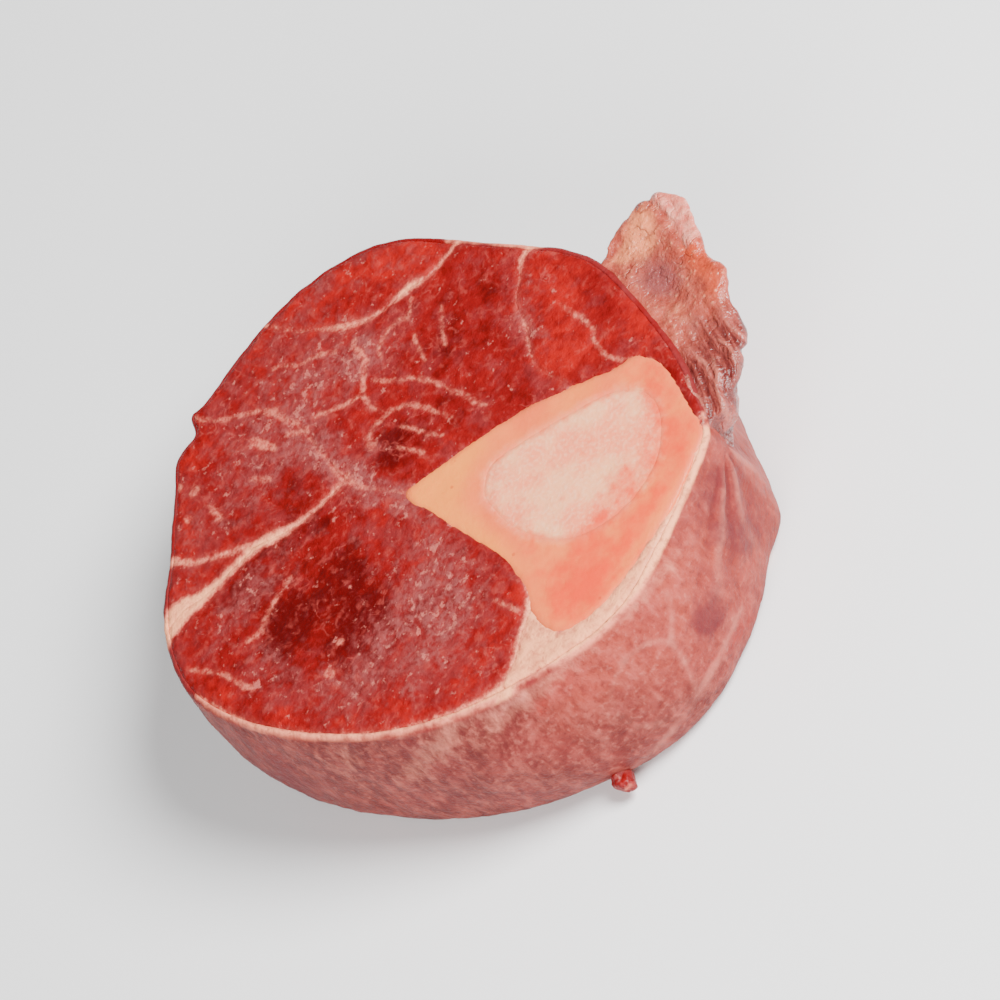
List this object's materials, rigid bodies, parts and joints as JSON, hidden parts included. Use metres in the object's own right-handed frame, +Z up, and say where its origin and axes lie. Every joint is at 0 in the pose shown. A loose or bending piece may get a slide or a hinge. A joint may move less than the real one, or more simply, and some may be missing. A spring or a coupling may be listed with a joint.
{
  "type": "raw beef shank",
  "caption": "Raw beef shank slice with a cross-cut marrow bone, muscles parted by seams of fascia and fat, a membrane wall and a flap of fat beside the bone.",
  "frame": {"origin": "middle of the slice's bounding box, on the lower cut face that it rests on", "axes": "+Z up, square to both cut faces; +X from the heel muscle's side towards the flap of fat; +Y from the bone's side towards the far muscles"},
  "size_m": [0.1572, 0.1424, 0.0456],
  "materials": {
    "flesh": "wet, semi-gloss, marbled dark red muscle with pale pink fascia and a mauve-pink membrane wall",
    "bone": "damp satin, pale peach sawn bone",
    "marrow": "damp satin, pale pink spongy core with coral-red edges"
  },
  "bodies": {
    "root": {"flesh": "flesh", "bone": "bone", "marrow": "marrow"}
  },
  "joints": []
}
